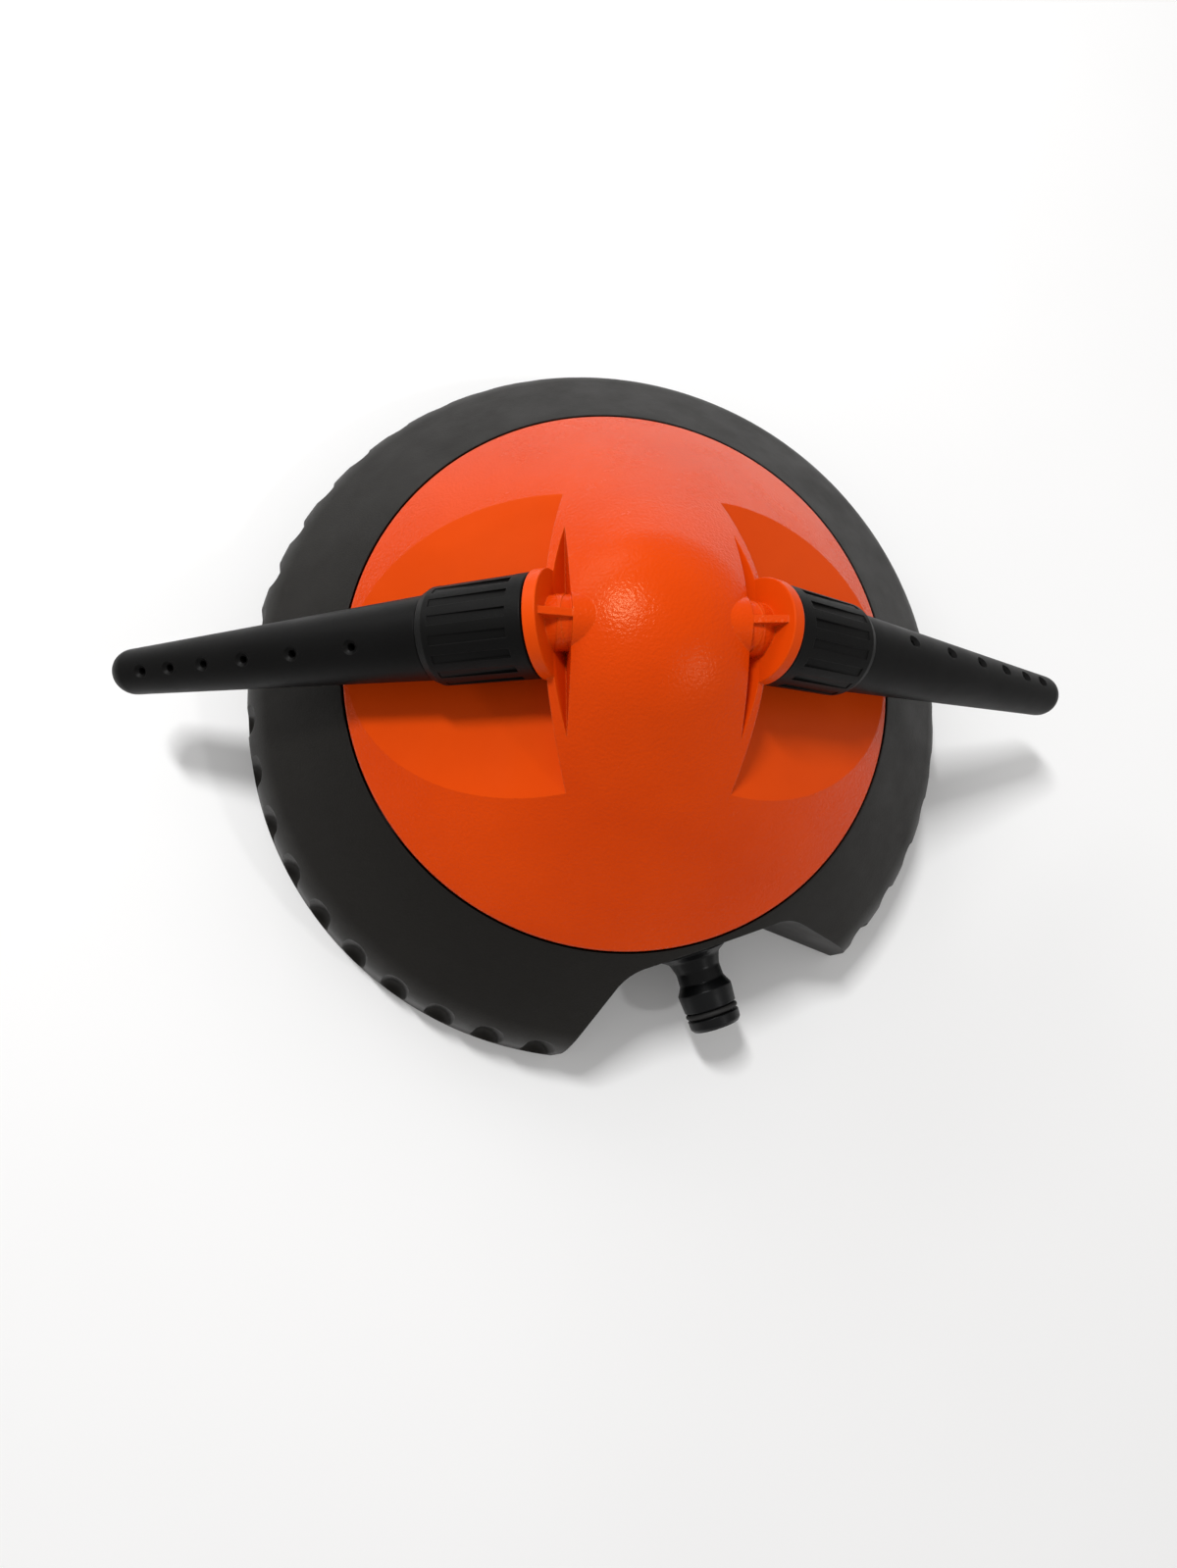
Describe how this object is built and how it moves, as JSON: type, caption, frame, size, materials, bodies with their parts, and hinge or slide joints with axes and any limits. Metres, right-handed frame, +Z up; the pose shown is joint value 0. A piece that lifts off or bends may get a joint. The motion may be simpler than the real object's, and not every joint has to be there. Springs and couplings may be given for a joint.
{
  "type": "rotating lawn sprinkler",
  "caption": "Rotating lawn sprinkler: a notched conical base, a domed rotor on a hollow spindle, and drooping spray arms that twist in ribbed collars.",
  "frame": {"origin": "on the ground under the spindle, at the middle of the hub cover's flat underside", "axes": "+Z up along the spindle, -Y along the hose inlet, +X to the right of the inlet; the rotor is stored turned 17.5 degrees clockwise from +X, as in the picture"},
  "size_m": [0.2856, 0.23, 0.1098],
  "materials": {
    "orange_plastic": "fine-grained orange moulding",
    "black_plastic": "matte near-black moulding",
    "arm_plastic": "satin near-black moulding",
    "rubber": "smooth black rubber",
    "spindle_brass": "turned",
    "screw_steel": "zinc plated",
    "washer_nylon": "natural nylon"
  },
  "bodies": {
    "base": {"base_shell": "black_plastic", "hub_cover": "black_plastic", "cover_screw_1": "screw_steel", "cover_screw_2": "screw_steel", "cover_screw_3": "screw_steel", "cover_screw_4": "screw_steel", "inlet_elbow": "black_plastic", "hose_nipple": "black_plastic", "nipple_o_ring": "rubber", "nipple_gasket": "rubber", "spindle": "spindle_brass", "spindle_gasket": "rubber", "wear_washer": "washer_nylon"},
    "rotor": {"rotor_dome": "orange_plastic", "water_manifold": "orange_plastic", "bearing_nut": "black_plastic", "spindle_seal": "rubber", "thrust_washer": "washer_nylon", "dome_screw_1": "screw_steel", "dome_screw_2": "screw_steel"},
    "left_arm": {"arm_tube_left": "arm_plastic", "arm_collar_left": "arm_plastic", "arm_o_ring_left": "rubber"},
    "right_arm": {"arm_tube_right": "arm_plastic", "arm_collar_right": "arm_plastic", "arm_o_ring_right": "rubber"}
  },
  "joints": [
    {"name": "rotor_spin", "type": "hinge", "parent": "base", "child": "rotor", "pos_m": [0, 0, 0.0673], "axis": [0, 0, 1], "continuous": true},
    {"name": "right_arm_twist", "type": "hinge", "parent": "rotor", "child": "right_arm", "pos_m": [0.05417, -0.01708, 0.0817], "axis": [-0.8547, 0.2695, 0.4437], "range_deg": [-20, 70]},
    {"name": "left_arm_twist", "type": "hinge", "parent": "rotor", "child": "left_arm", "pos_m": [-0.05417, 0.01708, 0.0817], "axis": [0.8547, -0.2695, 0.4437], "range_deg": [-20, 70]}
  ]
}
